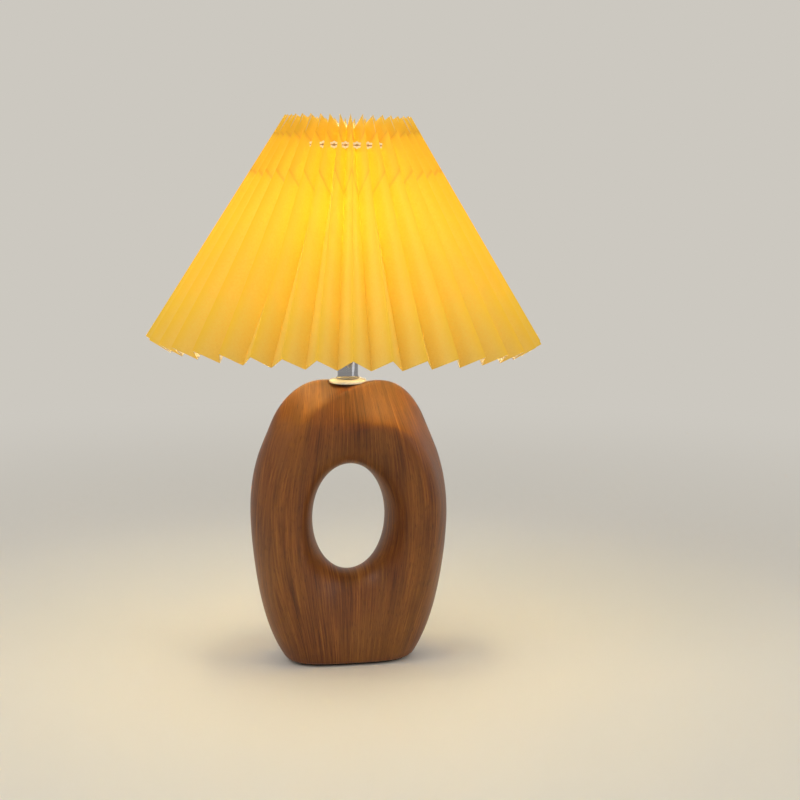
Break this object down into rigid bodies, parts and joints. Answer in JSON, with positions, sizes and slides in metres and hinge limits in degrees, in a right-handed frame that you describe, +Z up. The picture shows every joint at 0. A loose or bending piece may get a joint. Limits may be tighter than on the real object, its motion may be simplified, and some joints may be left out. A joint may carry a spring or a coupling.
{
  "type": "table lamp",
  "caption": "Table lamp with an oval ring body that has a twisted band over its top, a short chromed neck, and a pleated conical shade on a wire frame.",
  "frame": {"origin": "centre of the lamp's box, on the surface that its foot pad stands on", "axes": "+Z up along the neck, the front with the ridge that runs down the left leg looks towards -Y, the cord inlet is at the back, +Y"},
  "size_m": [0.3, 0.299, 0.4193],
  "materials": {
    "walnut_film": "satin",
    "dark_foam": "matte",
    "black_rubber": "matte",
    "zinc_steel": "satin",
    "white_gloss": "gloss",
    "chromed_steel": "polished",
    "white_plastic": "satin",
    "porcelain": "gloss",
    "brass": "satin",
    "white_wire": "satin",
    "cream_sheet": "matte",
    "white_cord": "matte",
    "cap_metal": "satin",
    "black_glass": "gloss",
    "board_white": "matte",
    "opal": "satin"
  },
  "bodies": {
    "base": {"ring_body": "walnut_film", "base_pad": "dark_foam", "cord_gland": "black_rubber", "clamp_washer": "zinc_steel", "lock_nut": "zinc_steel", "threaded_tube": "zinc_steel", "neck_washer": "white_gloss", "neck_sleeve": "chromed_steel", "holder_cap": "white_plastic", "holder_insert": "porcelain", "holder_skirt": "white_plastic", "screw_shell": "brass", "terminal_screw_left": "zinc_steel", "terminal_screw_right": "zinc_steel"},
    "retaining_ring": {"shade_ring": "white_plastic"},
    "frame": {"fitter_ring": "white_wire", "frame_leg_1": "white_wire", "frame_leg_2": "white_wire", "frame_leg_3": "white_wire", "support_ring": "white_wire"},
    "shade": {"pleated_shade": "cream_sheet", "gathering_cord": "white_cord"},
    "contact": {"centre_contact": "brass"},
    "bulb": {"bulb_tip": "cap_metal", "bulb_insulator": "black_glass", "bulb_cap": "cap_metal", "bulb_housing": "white_plastic", "led_plate": "board_white", "bulb_globe": "opal"}
  },
  "joints": [
    {"name": "ring_turn", "type": "hinge", "parent": "base", "child": "retaining_ring", "pos_m": [0, 0, 0.2708], "axis": [0, 0, 1], "range_deg": [0, 1080]},
    {"name": "frame_turn", "type": "hinge", "parent": "base", "child": "frame", "pos_m": [0, 0, 0.2652], "axis": [0, 0, 1], "continuous": true},
    {"name": "shade_lift", "type": "slide", "parent": "frame", "child": "shade", "axis": [0, 0, 1], "range_m": [0, 0.14]},
    {"name": "contact_travel", "type": "slide", "parent": "base", "child": "contact", "axis": [0, 0, 1], "range_m": [0, 0.0029]},
    {"name": "bulb_turn", "type": "hinge", "parent": "contact", "child": "bulb", "pos_m": [0, 0, 0.2652], "axis": [0, 0, 1], "range_deg": [0, 288]}
  ],
  "couplings": [
    {"joint": "bulb_turn", "follows": "contact_travel", "rad_per_m": 1731.3}
  ]
}
